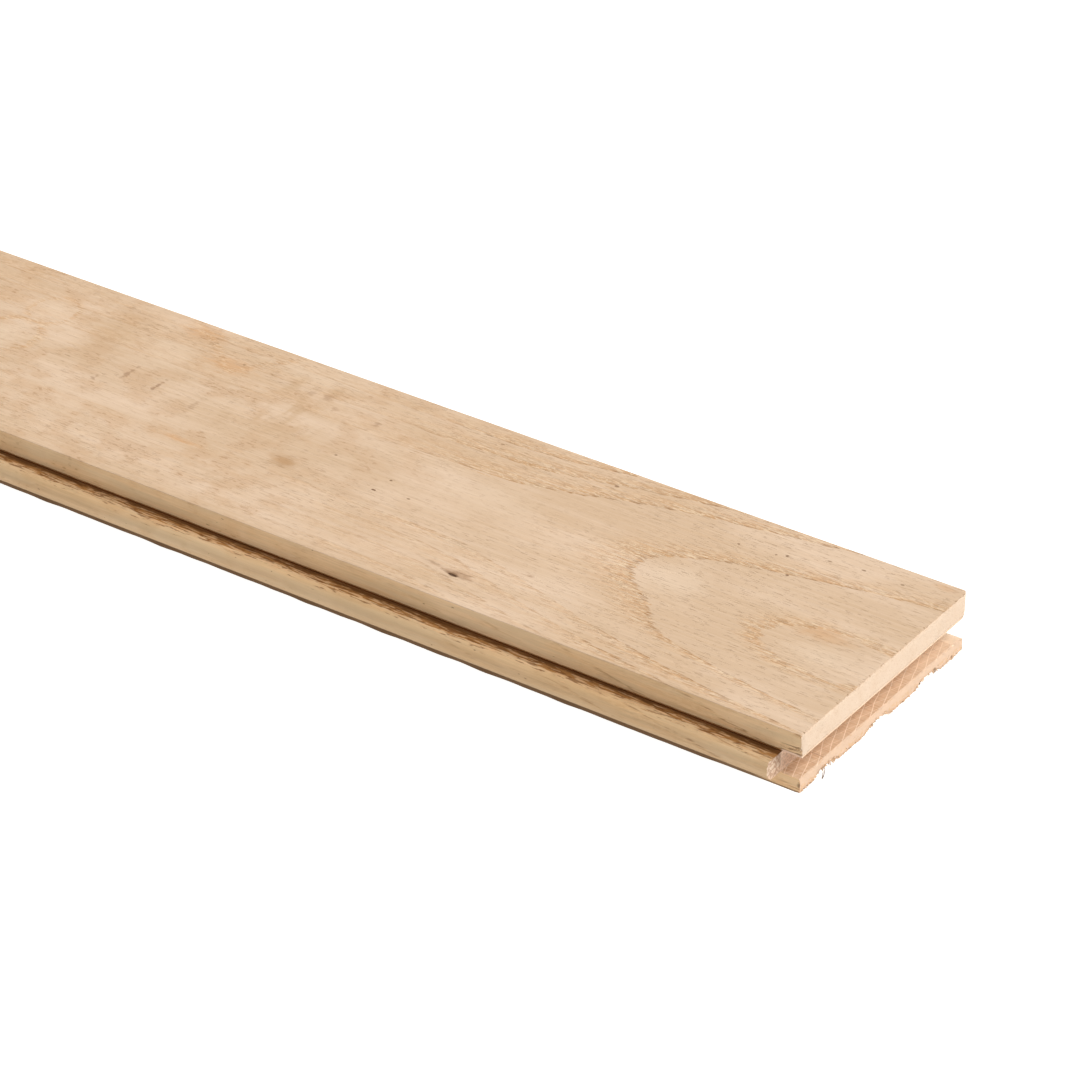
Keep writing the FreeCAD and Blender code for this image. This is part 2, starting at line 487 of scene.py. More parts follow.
def chip_near_corner(mesh):
    """Splinters are missing where the grooved end meets the tongue side of the upper lip."""
    for vertex in mesh.verts:
        along, across, up = place_of(vertex)
        beside = 1 - abs(across) / CHIP_BAND
        if beside < 0 or along < SPLIT_ALONG[0] or up < TONGUE_UP + TEAR_BAND:
            continue
        length_wave, height_wave = FLAKE_WAVES
        flake = noise.noise(Vector((along * length_wave, up * height_wave, FLAKE_SEED)))
        depth = FLAKE_DEPTH * ramp(flake, *FLAKE_LEVELS) * ramp(along, -FLAKE_LENGTH, 0.0)
        if up < SPLIT_UP:
            depth = max(depth, SPLIT_DEPTH * ramp(along, *SPLIT_ALONG))
        notch = max(0.0, noise.noise(Vector((up * CORNER_WAVES, *CORNER_SEED))))
        corner = CORNER_DEPTH * notch * ramp(along, -CORNER_LENGTH, 0.0)
        shift(vertex, along=-corner * beside, across=depth * beside)


def make_uneven(mesh):
    """Faces that wander a little, as a planer leaves them."""
    noise.seed_set(PLANER_SEED)
    for vertex in mesh.verts:
        waves = Vector(part * wave for part, wave in zip(place_of(vertex), PLANER_WAVES))
        vertex.co += noise.noise_vector(waves) * PLANER_UNEVEN * MM


# Torn fibres on the lower edge of the grooved end
FIBRE_SEED = 7
FIBRE_ROOT = 0.25
# The way they point along, across and up, where they bend and how far, and how they taper
FIBRE_WAYS = ((0.3, 1.0), (-0.6, 0.6), (-1.0, 0.0))
FIBRE_MIDDLE = 0.55
FIBRE_BOW = 0.1
FIBRE_RISE = 0.05
FIBRE_TAPER = (1.0, 0.7, 0.15)
FIBRE_SPAN = (1.0, 87.0)
# How many, their lengths and their widths in millimetres
FIBRES = (
    (80, (0.5, 1.0), (0.5, 0.9)),
    (240, (0.4, 1.2), (0.12, 0.22)),
)
# Tufts of them: place across the board, half width, how many, their lengths and their widths
TUFTS = (
    (16.5, 1.7, 22, (0.8, 1.7), (0.25, 0.6)),
    (13.0, 1.2, 10, (0.6, 1.4), (0.2, 0.5)),
    (47.5, 1.5, 6, (0.6, 1.1), (0.2, 0.4)),
    (71.5, 1.4, 20, (0.7, 1.4), (0.2, 0.6)),
    (81.5, 0.9, 8, (0.5, 1.1), (0.2, 0.5)),
    (0.8, 0.7, 7, (0.5, 1.1), (0.3, 0.6)),
)
# One strand hangs in a loop through these places
STRAND_SIDES = 3
STRAND_WIDTH = 0.3
STRAND = (
    (-0.3, 12.2, 1.8), (0.4, 11.4, 1.1), (1.0, 10.2, 0.5), (1.35, 9.4, 0.25),
    (1.45, 9.7, 0.25), (1.1, 10.9, 0.6), (0.5, 12.3, 1.3), (-0.2, 12.9, 1.9),
)


def add_strand(mesh, points, widths):
    """A strand of wood through the points, as thick as asked at each one."""
    rings = []
    for index, point in enumerate(points):
        along = points[min(index + 1, len(points) - 1)] - points[max(index - 1, 0)]
        aside = along.orthogonal().normalized()
        over = along.cross(aside).normalized()
        ring = []
        for corner in range(STRAND_SIDES):
            angle = math.tau * corner / STRAND_SIDES
            offset = aside * math.cos(angle) + over * math.sin(angle)
            ring.append(mesh.verts.new(point + offset * widths[index] / 2))
        rings.append(ring)
    for first, last in zip(rings, rings[1:]):
        for corner in range(STRAND_SIDES):
            following = (corner + 1) % STRAND_SIDES
            mesh.faces.new((first[corner], first[following], last[following], last[corner]))
    mesh.faces.new(list(reversed(rings[0])))
    mesh.faces.new(rings[-1])


def add_fibre(mesh, chance, across, lengths, widths):
    """One torn fibre: out of the lower edge, down and tapering."""
    length = chance.uniform(*lengths) * MM
    width = chance.uniform(*widths) * MM
    y = FACE_FRONT + across * MM
    foot = underside_height(y) + chance.uniform(0.0, width)
    base = Vector((END - END_LIP_SETBACK - FIBRE_ROOT * MM, y, foot))
    way = Vector(chance.uniform(*limits) for limits in FIBRE_WAYS)
    tip = base + way.normalized() * length
    bow = Vector((FIBRE_BOW, chance.uniform(-FIBRE_BOW, FIBRE_BOW), FIBRE_RISE))
    points = [base, base.lerp(tip, FIBRE_MIDDLE) + bow * length, tip]
    for point in points:
        point.z = max(point.z, width / 2)
    add_strand(mesh, points, [width * part for part in FIBRE_TAPER])


def add_fibres(mesh):
    """Torn fibres along the lower edge of the lower lip at the grooved end."""
    chance = random.Random(FIBRE_SEED)
    for count, lengths, widths in FIBRES:
        for _ in range(count):
            add_fibre(mesh, chance, chance.uniform(*FIBRE_SPAN), lengths, widths)
    for middle, half, count, lengths, widths in TUFTS:
        for _ in range(count):
            add_fibre(mesh, chance, middle + chance.uniform(-half, half), lengths, widths)
    points = [Vector((END + along * MM, FACE_FRONT + across * MM, up * MM)) for along, across, up in STRAND]
    add_strand(mesh, points, [STRAND_WIDTH * MM] * len(points))


def finish_board(mesh):
    """The dressed board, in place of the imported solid."""
    data = mesh_data("board", mesh)
    data.shade_smooth()
    data.set_sharp_from_angle(angle=SHARP_ANGLE)
    board = new_object("board", data)
    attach(board, "root")
    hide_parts("floorboard")
    return board


# Material. Its places are the millimetres along, across and up that the wear is given in.

# How bright a white face looks on the top, on the grooved end and on the tongue side
TOP_LIGHT = 1.2
END_LIGHT = 1.52
SIDE_LIGHT = 0.85
# The same in the shade of the end groove
GROOVE_LIGHT = 1.05

# Growth rings about a heart below the board: millimetres from the heart to the start of each ring
RING_RADII = (36.0, 51.0, 56.0, 61.0, 65.5, 70.0, 76.0)
RING_NEAR, RING_FAR = 32.0, 90.0
# Millimetres from the start of a ring, and how strong its earlywood and its first line are there
RING_LEVELS = ((-0.12, 0.0, 0.0), (0.0, 1.0, 1.0), (0.45, 0.85, 0.0), (4.4, 0.12, 0.0))
# Away from the grooved end the heart dives and then runs level, and the arch that this makes leans
HEART_ACROSS = 44.0
HEART_DEPTH = 47.5
HEART_BEND = 6.0
HEART_SLOPE = 0.22
HEART_START = 79.6
ARCH_SKEW = 0.41
ARCH_WIDTHS = (26.0, 8.0)
# Towards the tongue side the rings crowd: where, and how much the radii grow there
CROWD_ACROSS = (-10.0, -27.0)
CROWD_RADII = (39.0, 46.5)
CROWD_GROWTH = (-3.0, 4.5)
# Between the first and last of these places along the board the rings are faint
CALM_STRETCH = (-420.0, -320.0, -200.0, -130.0)
CALM_LOSS = 0.7
# Towards the tongue side and away from the grooved end they are fainter too
FAINT_ACROSS = (32.0, 22.0)
FAINT_ALONG = (-50.0, -90.0)
FAINT_LOSS = 0.5

# Small closed arches: place along and across, half sizes, strength
LOOPS = (
    (-14.0, 38.0, 22.0, 10.5, 0.8),
    (-324.0, 48.0, 9.0, 9.5, 0.68),
    (-322.0, 67.0, 7.0, 8.0, 0.6),
)
LOOP_LEVELS = (0.98, 1.06, 1.1, 1.5)
# A pointed arch that runs out over the far edge
POINT_PLACE = (-252.0, 68.5)
POINT_SLOPES = (-0.72, 1.25)
POINT_WIDTHS = (4.5, 0.5)
POINT_STRENGTH = 0.5
# Curly figure
CURL_MIDDLE = (-222.0, 56.0)
CURL_SIZE = (26.0, 22.0)
CURL_LEVELS = (1.1, 0.3)
# Away from the grooved end the face is mottled
MOTTLE_ALONG = (-120.0, -220.0)
# Near the grooved end the face is full of pores, and pores crowd in the earlywood
PORY_ALONG = (-140.0, -60.0)
PORE_CROWD = 0.12
# Share of the tan that lies in clouds, the rest in streaks, and how far hairlines show where the wood is calm
CLOUD_SHARE = 0.7
CALM_HAIRLINES = 0.5

# Each kind of noise starts at a place of its own
SEED_STEPS = (7.3, 3.1, 5.7)

# Noise that swings about zero: waves in a millimetre along the grain and across it, detail, reach
SWINGS = {
    "ring bend": (0.011, 0.05, 2.0, 0.5),
    "ring waver": (0.05, 1.2, 2.0, 0.8),
    "loop": (0.08, 0.25, 3.0, 0.3),
    "point": (0.1, 0.1, 2.0, 3.0),
    "mark": (0.3, 0.9, 2.0, 1.0),
    "hairlines": (0.07, 2.2, 3.0, 0.17),
    "fibre": (0.14, 4.0, 2.0, 0.5),
    "stain reach": (0.025, 0.0, 1.0, 2.0),
    "stain edge": (0.15, 1.3, 3.0, 3.4),
    "cutter": (0.05, 0.05, 2.0, 1.2),
}

# Noise in patches: waves as above, detail, and the levels where a patch begins and is whole
PATCHES = {
    "tan cloud": (0.022, 0.05, 4.0, 0.32, 0.60),
    "tan streak": (0.015, 0.8, 3.0, 0.36, 0.62),
    "earlywood": (0.11, 1.7, 3.0, 0.34, 0.60),
    "pores": (0.25, 3.0, 1.0, 0.64, 0.70),
    "specks": (0.6, 2.0, 1.0, 0.51, 0.60),
    "ring dashes": (0.13, 1.5, 3.0, 0.46, 0.58),
    "curl": (0.25, 0.06, 2.0, 0.45, 0.75),
    "splits": (0.2, 2.6, 2.0, 0.50, 0.57),
    "flecks": (0.2, 1.4, 2.0, 0.52, 0.58),
    "end cloud": (0.1, 0.25, 3.0, 0.30, 0.80),
    "end dots": (0.6, 2.4, 2.0, 0.55, 0.68),
    "torn end": (1.0, 1.3, 4.0, 0.44, 0.56),
    "wall lines": (0.10, 1.9, 2.0, 0.45, 0.68),
    "fringe": (0.5, 0.8, 2.0, 0.46, 0.58),
    "dark bits": (0.6, 1.1, 2.0, 0.67, 0.72),
    "smudges": (0.3, 0.5, 2.0, 0.52, 0.66),
    "busy": (0.02, 0.06, 3.0, 0.40, 0.62),
    "side cloud": (0.03, 0.3, 3.0, 0.42, 0.66),
    "edge bits": (0.9, 1.3, 2.0, 0.58, 0.66),
    "mottle": (0.08, 0.11, 4.0, 0.45, 0.62),
    "dashes": (0.25, 1.5, 3.0, 0.50, 0.58),
    "bits": (0.35, 1.2, 2.0, 0.60, 0.66),
    "pits": (0.4, 1.2, 1.0, 0.77, 0.80),
}

# Colours as seen in the picture, 0 to 255, and how well each one covers what is under it
FACE_PALE = (236, 207, 178)
FACE_TAN = (221, 189, 155)
END_CREAM = (247, 220, 192)
WALL_BROWN = (213, 179, 147)
SIDE_TINT = (1.12, 1.04, 0.85, 1.0)
NOSE_TINT = (0.86, 0.86, 0.86, 1.0)
TINTS = {
    "curl": ((206, 170, 131), 0.55),
    "mottle": ((212, 173, 134), 0.42),
    "bits": ((168, 124, 84), 0.45),
    "earlywood": ((214, 160, 104), 0.66),
    "specks": ((248, 220, 184), 0.70),
    "ring dashes": ((140, 92, 50), 0.62),
    "pores": ((164, 116, 68), 0.34),
    "side cloud": ((188, 164, 130), 0.45),
    "pits": ((104, 70, 42), 0.60),
    "burnished": ((172, 118, 60), 0.92),
    "scorched": ((120, 78, 34), 0.85),
    "flecks": ((234, 190, 142), 0.75),
    "dashes": ((120, 74, 30), 0.70),
    "seat": ((196, 140, 84), 0.90),
    # painted shade under the tongue's nose
    "nose": ((146, 118, 84), 0.65),
    # painted shade on the foot below the tongue, and a painted contact shadow along the bottom
    "foot": ((116, 88, 60), 0.88),
    # painted shadow line along the split
    "split": ((96, 62, 34), 0.75),
    "splits": ((104, 70, 38), 0.75),
    "edge bits": ((160, 118, 78), 0.55),
    "end cloud": ((238, 206, 174), 0.50),
    "end dots": ((216, 178, 140), 0.42),
    "low end": ((243, 205, 172), 0.75),
    "torn end": ((190, 148, 120), 0.80),
    "torn bottom": ((196, 164, 140), 0.65),
    # torn grain at the tongue end, with painted shade towards the upper lip
    "torn brown and shade": ((150, 112, 86), 0.45),
    # pinkish end grain at the bottom of the end groove, made pale as painted light against the upper lip's
    # shade
    "groove bottom painted light": ((236, 203, 176), 0.90),
    "wall lines": ((190, 146, 110), 0.60),
    "wall marks": ((250, 222, 194), 0.70),
    "wall crack": ((132, 90, 62), 0.60),
    "fringe": ((238, 194, 148), 0.70),
    "dark bits": ((132, 90, 52), 0.72),
    "strand": ((126, 108, 92), 0.85),
    # pale cream past the wall's far end: partly its own colour, partly painted light where the upper lip's
    # shade ends
    "far lip cream and painted light": ((244, 216, 186), 0.90),
    "smudges": ((206, 180, 154), 0.60),
}

# Marks on the face: tint, how far in they fade, how ragged they are, and each one's place along and across,
# half sizes and strength
MARKS = (
    ((238, 211, 182), 0.2, 0.4, (
        (-276.0, 67.0, 15.0, 15.0, 0.5), (-226.0, 82.0, 24.0, 10.0, 0.5), (-70.0, 46.0, 13.0, 12.0, 0.6),
        (-16.0, 36.0, 15.0, 7.0, 0.5), (-140.0, 52.0, 22.0, 12.0, 0.35), (-324.0, 48.0, 9.0, 9.5, 0.6),
        (-322.0, 67.0, 7.0, 8.0, 0.5))),
    ((210, 174, 135), 0.0, 0.5, (
        (-297.0, 64.0, 11.0, 24.0, 0.5), (-229.5, 74.0, 3.5, 9.0, 0.6), (-216.0, 77.0, 3.5, 6.0, 0.5),
        (-219.0, 62.0, 3.5, 5.0, 0.5), (-218.0, 50.0, 9.0, 13.0, 0.45))),
    ((220, 170, 122), 0.0, 0.6, (
        (-274.0, 83.5, 11.0, 6.5, 0.65), (-254.0, 71.3, 13.0, 6.5, 0.65), (-237.5, 26.7, 13.0, 1.9, 0.75),
        (-22.0, 46.0, 14.0, 5.5, 0.5), (-6.0, 86.5, 6.0, 2.0, 0.5))),
    ((190, 146, 100), 0.0, 0.4, (
        (-203.0, 34.5, 7.0, 4.8, 0.75), (-207.0, 36.0, 5.0, 4.0, 0.3))),
    ((138, 94, 62), 0.2, 1.4, (
        (-276.2, 48.8, 0.9, 5.6, 0.4), (-263.8, 48.5, 0.85, 4.2, 0.5), (-247.0, 45.0, 1.4, 4.5, 0.2),
        (-283.0, 42.0, 1.2, 2.2, 0.45), (-216.0, 73.0, 2.4, 2.2, 0.3), (-222.0, 72.0, 2.0, 1.8, 0.25),
        (-194.0, 68.5, 1.6, 2.0, 0.35), (-210.0, 68.0, 1.5, 1.6, 0.25))),
    ((160, 120, 88), 0.1, 0.7, (
        (-123.0, 13.0, 7.0, 2.4, 0.65), (-132.0, 14.0, 6.0, 1.2, 0.6), (-106.0, 24.2, 1.9, 1.2, 0.5))),
    ((132, 96, 66), 0.3, 0.8, (
        (-125.5, 12.2, 3.4, 1.0, 0.7),)),
    ((66, 38, 18), 0.4, 0.5, (
        (-124.4, 11.9, 2.4, 0.7, 1.0),)),
    ((120, 84, 54), 0.5, 0.3, (
        (-171.5, 36.7, 1.1, 0.5, 0.9), (-170.5, 44.0, 0.7, 0.5, 0.8), (-193.0, 46.5, 0.7, 0.5, 0.6),
        (-160.0, 38.5, 0.7, 0.5, 0.6), (-46.5, 66.6, 0.8, 0.6, 0.8), (-67.0, 73.0, 0.7, 0.5, 0.7),
        (-52.0, 75.4, 0.7, 0.7, 0.7), (-55.0, 74.2, 0.6, 0.5, 0.6), (-40.5, 80.0, 0.9, 0.5, 0.6),
        (-30.0, 81.3, 0.9, 0.5, 0.6), (-17.0, 81.0, 0.8, 0.5, 0.6), (-114.0, 79.6, 1.0, 0.6, 0.7),
        (-119.5, 75.6, 0.7, 0.5, 0.6), (-250.3, 74.3, 0.7, 0.6, 0.5), (-156.0, 80.4, 1.0, 0.5, 0.6))),
)

# Fade widths in millimetres
CRISP = 0.15
SOFT = 0.6
VAGUE = 1.2

# Places on the tongue side, the grooved end and the wall of its groove
SIDE_ACROSS = 0.75
SIDE_SHARE = 0.4
NOSE_ACROSS = -1.0
STAIN_ACROSS = -3.4
STAIN_LOW, STAIN_HIGH = 9.4, 12.2
FLECK_LEVELS = (-1.2, -0.6)
FLECK_END = (3.2, 1.8)
STAIN_LEVELS = (0.0, 0.8)
SCORCH_LEVELS = (1.9, 3.3)
# Up to this height the tongue's nose gets painted shade
NOSE_SHADE_UP = 6.8
# Painted shade on the foot below the tongue comes in between these places along, and a painted contact shadow
# runs along the whole bottom up to this height
FOOT_SHADE_START = (-9.0, -16.0)
CONTACT_SHADOW_UP = 0.5
# Half width of the painted shadow line along the split
SPLIT_SHADOW_WIDTH = 0.1
CUT_ACROSS = (0.55, 0.8)
TONGUE_END_ALONG = (-10.0, -3.0)
TONGUE_END_ACROSS = 0.4
# Past here, towards the upper lip, the tongue end is browner: torn grain and painted shade from the lip
BROWN_SHADE_ACROSS = -2.2
LOW_END_UP = 7.0
WALL_FACING = (0.6, 0.8)
# Beyond WALL_FAR the wall turns pale cream, partly its own colour and partly painted light where the upper
# lip's shade ends; between the WALL_PALE places it grows paler, by up to WALL_PALE_SHARE
WALL_FAR = 81.5
WALL_PALE = (45.0, 80.0)
WALL_PALE_SHARE = 0.4
# Sweeps of the cutter: slope and strength
SWEEPS = ((0.36, 1.0), (-0.3, 0.5))
SWEEP_SPACING = 1.3
SWEEP_WIDTH = 0.12
CRACK_ACROSS = 13.1
CRACK_WANDER = 0.2
CRACK_WIDTH = 0.15
EDGE_ALONG = -0.9
EDGE_UP = TOP_UP - 0.5
CORNER_ALONG = -1.0
CORNER_ACROSS = 0.7
SPLITS_ALONG = -6.0
SPLITS_UP = 14.8
FRINGE_ALONG = -0.4
FRINGE_UP = 2.2
STRAND_ALONG = 0.5
# Dark knots in the torn lower edge: across, up, and half sizes along, across and up
EDGE_KNOTS = (
    (71.8, 1.5, 2.0, 1.0, 1.0),
    (81.5, 0.8, 1.4, 0.7, 0.7),
    (0.2, 2.4, 1.2, 0.6, 1.2),
)
KNOT_LEVELS = (1.0, 0.4)

# The shader: plain settings, and its relief
OAK_LOOK = {"Roughness": 0.68, "Specular IOR Level": 0.3}
PORE_RELIEF = -0.7
FIBRE_RELIEF = 0.5
BUMP_DISTANCE = 0.12 * MM
BUMP_STRENGTH = 0.8

# The highest level of a colour in the tables
TOP_LEVEL = 255
# Sockets of a node that mixes colours
MIX_PART, MIX_FIRST, MIX_SECOND, MIX_RESULT = 0, 6, 7, 2


def linear(colour, light):
    """A colour as seen, in 0 to 255, as the linear reflectance that shows it under that much light."""
    seen = Color([level / TOP_LEVEL for level in colour]).from_srgb_to_scene_linear()
    return (*(level / light for level in seen), 1.0)


class Graph:
    """Short ways to add nodes to one material."""

    def __init__(self, name):
        self.material = bpy.data.materials.new(name)
        self.material.use_nodes = True
        self.tree = self.material.node_tree
        self.shader = self.tree.nodes["Principled BSDF"]

    def feed(self, socket, value):
        """Link a socket, or set it where the value is a constant."""
        if isinstance(value, bpy.types.NodeSocket):
            self.tree.links.new(value, socket)
        else:
            socket.default_value = value

    def settle(self, look):
        """Set plain values on the shader."""
        for key, value in look.items():
            self.shader.inputs[key].default_value = value

    def node(self, kind, values, **settings):
        """A new node with its inputs fed and its properties set."""
        node = self.tree.nodes.new("ShaderNode" + kind)
        for key, value in settings.items():
            setattr(node, key, value)
        for key, value in values.items():
            self.feed(node.inputs[key], value)
        return node

    def math(self, operation, *values):
        return self.node("Math", dict(enumerate(values)), operation=operation).outputs[0]

    def add(self, first, second):
        return self.math("ADD", first, second)

    def times(self, first, *others):
        for other in others:
            first = self.math("MULTIPLY", first, other)
        return first

    def vector(self, operation, *values):
        return self.node("VectorMath", dict(enumerate(values)), operation=operation)

    def split(self, vector):
        return self.node("SeparateXYZ", {0: vector}).outputs[:3]

    def step(self, value, low, high):
        """A smooth step from 0 at low to 1 at high."""
        values = {"Value": value, "From Min": low, "From Max": high}
        return self.node("MapRange", values, interpolation_type="SMOOTHSTEP").outputs["Result"]

    def above(self, value, limit, fade):
        return self.step(value, limit - fade, limit + fade)

    def below(self, value, limit, fade):
        return self.step(value, limit + fade, limit - fade)

    def noise(self, place, use, along, across, detail):
        """Noise of 0 to 1, with a pattern of its own for each use."""
        seed = [*SWINGS, *PATCHES].index(use) + 1
        start = tuple(seed * step for step in SEED_STEPS)
        spot = self.vector("MULTIPLY_ADD", place, (along, across, across), start).outputs[0]
        return self.node("TexNoise", {"Vector": spot, "Scale": 1.0, "Detail": detail}).outputs["Fac"]

    def swing(self, place, use):
        """Noise that swings about zero."""
        *waves, reach = SWINGS[use]
        return self.math("MULTIPLY_ADD", self.noise(place, use, *waves), 2 * reach, -reach)

    def patches(self, place, use, more=0.0):
        """Noise cut into patches, which spread where there is more."""
        *waves, low, high = PATCHES[use]
        return self.step(self.add(self.noise(place, use, *waves), more), low, high)

    def spot(self, place, middle, half):
        """Distance from a place, in half sizes of its own."""
        scale = tuple(1 / size for size in half)
        back = tuple(-part / size for part, size in zip(middle, half))
        offset = self.vector("MULTIPLY_ADD", place, scale, back).outputs[0]
        return self.vector("LENGTH", offset).outputs["Value"]

    def mix(self, part, first, second, blend="MIX"):
        values = {MIX_PART: part, MIX_FIRST: first, MIX_SECOND: second}
        return self.node("Mix", values, data_type="RGBA", blend_type=blend).outputs[MIX_RESULT]

    def lay(self, colour, mask, use, light):
        """Lay a listed tint over a colour, as far as its mask is 1."""
        tint, cover = TINTS[use]
        return self.mix(self.times(mask, cover), colour, linear(tint, light))

    def lay_patches(self, colour, place, use, light, *masks):
        """Lay a listed tint over a colour in patches of the same name, as far as the masks are 1."""
        return self.lay(colour, self.times(self.patches(place, use), *masks), use, light)


def ring_radius(graph, place):
    """Distance from the heart of the tree, which dives away from the grooved end."""
    x, y, z = graph.split(place)
    aside = graph.math("SUBTRACT", y, HEART_ACROSS)
    lean = graph.times(graph.step(graph.math("ABSOLUTE", aside), *ARCH_WIDTHS), ARCH_SKEW)
    along = graph.math("MULTIPLY_ADD", lean, aside, x)
    rise = graph.math("MULTIPLY_ADD", along, -HEART_SLOPE, HEART_SLOPE * HEART_START)
    height = graph.math("SMOOTH_MIN", rise, HEART_DEPTH, HEART_BEND)
    deep = graph.math("SUBTRACT", graph.add(height, TOP_UP), z)
    radius = graph.math("SQRT", graph.add(graph.times(aside, aside), graph.times(deep, deep)))
    limits = {
        "Value": radius,
        "From Min": CROWD_RADII[0],
        "From Max": CROWD_RADII[1],
        "To Min": CROWD_GROWTH[0],
        "To Max": CROWD_GROWTH[1],
    }
    growth = graph.node("MapRange", limits).outputs["Result"]
    radius = graph.math("MULTIPLY_ADD", growth, graph.step(aside, *CROWD_ACROSS), radius)
    return graph.add(radius, graph.add(graph.swing(place, "ring bend"), graph.swing(place, "ring waver")))


def ring_bands(graph, place):
    """Earlywood of the growth rings, sharp where a ring begins and fading outwards, and its first line."""
    limits = {"Value": ring_radius(graph, place), "From Min": RING_NEAR, "From Max": RING_FAR}
    ramp_node = graph.node("ValToRGB", {"Fac": graph.node("MapRange", limits).outputs["Result"]})
    stops = ramp_node.color_ramp.elements
    for ring in RING_RADII:
        for offset, band, line in RING_LEVELS:
            stop = stops.new((ring + offset - RING_NEAR) / (RING_FAR - RING_NEAR))
            stop.color = (band, line, 0.0, 1.0)
    for stop in (stops[0], stops[-1]):
        stop.color = (0.0, 0.0, 0.0, 1.0)
    x, y, _ = graph.split(place)
    calm = graph.times(graph.step(x, *CALM_STRETCH[:2]), graph.step(x, *CALM_STRETCH[:1:-1]))
    faint = graph.times(graph.step(y, *FAINT_ACROSS), graph.step(x, *FAINT_ALONG))
    strength = graph.math("MULTIPLY_ADD", calm, -CALM_LOSS, 1.0)
    strength = graph.times(strength, graph.math("MULTIPLY_ADD", faint, -FAINT_LOSS, 1.0))
    levels = graph.node("SeparateColor", {0: ramp_node.outputs["Color"]}).outputs[:2]
    return [graph.times(level, strength) for level in levels]


def loop_band(graph, place, loop):
    """A small closed arch: a loose ring of earlywood."""
    along, across, half_length, half_width, strength = loop
    reach = graph.spot(place, (along, across, TOP_UP), (half_length, half_width, 1.0))
    reach = graph.add(reach, graph.swing(place, "loop"))
    start, whole, fading, gone = LOOP_LEVELS
    return graph.times(graph.step(reach, start, whole), graph.step(reach, gone, fading), strength)


def point_band(graph, place):
    """A pointed arch that runs out over the far edge."""
    x, y, _ = graph.split(place)
    along = graph.math("SUBTRACT", x, POINT_PLACE[0])
    limbs = graph.math("MAXIMUM", *(graph.times(along, slope) for slope in POINT_SLOPES))
    miss = graph.math("SUBTRACT", graph.math("SUBTRACT", y, POINT_PLACE[1]), limbs)
    miss = graph.math("ABSOLUTE", graph.add(miss, graph.swing(place, "point")))
    return graph.times(graph.step(miss, *POINT_WIDTHS), POINT_STRENGTH)


def face_wood(graph, place):
    """Plain wood as it shows on the face, and its pores for the relief."""
    band, line = ring_bands(graph, place)
    for other in (*(loop_band(graph, place, loop) for loop in LOOPS), point_band(graph, place)):
        band = graph.math("MAXIMUM", band, other)
    x, y, _ = graph.split(place)
    on_face = graph.above(y, SIDE_ACROSS, SOFT)
    share = graph.math("MULTIPLY_ADD", on_face, 1 - SIDE_SHARE, SIDE_SHARE)
    band = graph.times(band, share)
    clouds = graph.times(graph.patches(place, "tan cloud"), CLOUD_SHARE)
    tan = graph.math("MULTIPLY_ADD", graph.patches(place, "tan streak"), 1 - CLOUD_SHARE, clouds)
    colour = graph.mix(tan, linear(FACE_PALE, TOP_LIGHT), linear(FACE_TAN, TOP_LIGHT))
    mottled = graph.times(graph.step(x, *MOTTLE_ALONG), graph.patches(place, "mottle"))
    colour = graph.lay(colour, mottled, "mottle", TOP_LIGHT)
    colour = graph.lay_patches(colour, place, "bits", TOP_LIGHT, mottled)
    ragged = graph.swing(place, "mark")
    for tint, fade, raggedness, marks in MARKS:
        edge = graph.times(ragged, raggedness)
        for along, across, half_length, half_width, strength in marks:
            reach = graph.spot(place, (along, across, TOP_UP), (half_length, half_width, 1.0))
            mask = graph.times(graph.step(graph.add(reach, edge), 1.0, fade), strength)
            colour = graph.mix(mask, colour, linear(tint, TOP_LIGHT))
    curl = graph.step(graph.spot(place, (*CURL_MIDDLE, TOP_UP), (*CURL_SIZE, 1.0)), *CURL_LEVELS)
    for use, mask in (("curl", curl), ("earlywood", band), ("specks", band), ("ring dashes", line)):
        colour = graph.lay_patches(colour, place, use, TOP_LIGHT, mask)
    busy = graph.math("MULTIPLY_ADD", graph.patches(place, "busy"), 1 - CALM_HAIRLINES, CALM_HAIRLINES)
    streaked = graph.math("MAXIMUM", busy, graph.math("SUBTRACT", 1.0, on_face))
    pores = graph.patches(place, "pores", graph.times(band, PORE_CROWD))
    pory = graph.math("MAXIMUM", graph.math("MAXIMUM", busy, band), graph.step(x, *PORY_ALONG))
    pores = graph.times(pores, pory, share)
    colour = graph.lay(colour, pores, "pores", TOP_LIGHT)
    shade = graph.math("MULTIPLY_ADD", graph.swing(place, "hairlines"), streaked, 1.0)
    grey = graph.node("CombineColor", {0: shade, 1: shade, 2: shade}).outputs[0]
    return graph.mix(1.0, colour, grey, "MULTIPLY"), pores


